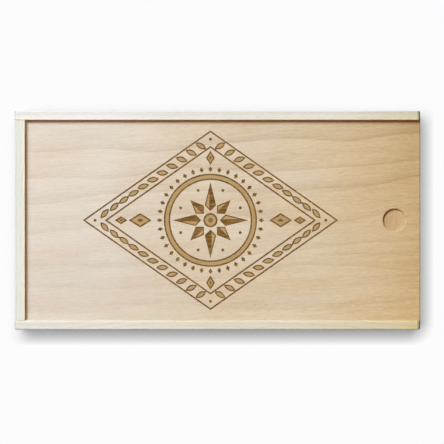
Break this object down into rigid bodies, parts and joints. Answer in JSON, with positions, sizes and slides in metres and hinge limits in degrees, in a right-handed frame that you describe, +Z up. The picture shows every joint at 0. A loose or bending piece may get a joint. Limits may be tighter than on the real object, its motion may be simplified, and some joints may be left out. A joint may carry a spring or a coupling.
{
  "type": "wooden gift box",
  "caption": "Long low wooden box with open grooves along its sides and a plywood lid, with a round finger recess, that slides out over the lower end.",
  "frame": {"origin": "on the floor under the middle of the four boards", "axes": "+X along the box, the way the lid slides out; +Y across it, towards the back side; +Z up"},
  "size_m": [0.3523, 0.19, 0.1],
  "materials": {
    "board_wood": "pale planed softwood boards, sanded, unvarnished",
    "lid_veneer": "sanded beech-like face veneer with a burnt engraved ornament, unvarnished",
    "base_veneer": "plain face veneer, unvarnished",
    "ply_core": "cross-grain plywood core",
    "brad_steel": "zinc-coated wire brads"
  },
  "bodies": {
    "carcass": {"front_side": "board_wood", "back_side": "board_wood", "closed_end": "board_wood", "open_end": "board_wood", "base_face_ply": "base_veneer", "base_core_ply": "ply_core", "base_back_ply": "base_veneer", "closed_front_brads": "brad_steel", "closed_back_brads": "brad_steel", "open_front_brads": "brad_steel", "open_back_brads": "brad_steel"},
    "lid": {"lid_face_ply": "lid_veneer", "lid_core_ply": "ply_core", "lid_back_ply": "lid_veneer"}
  },
  "joints": [
    {"name": "lid_slide", "type": "slide", "parent": "carcass", "child": "lid", "axis": [1, 0, 0], "range_m": [0, 0.346]}
  ]
}
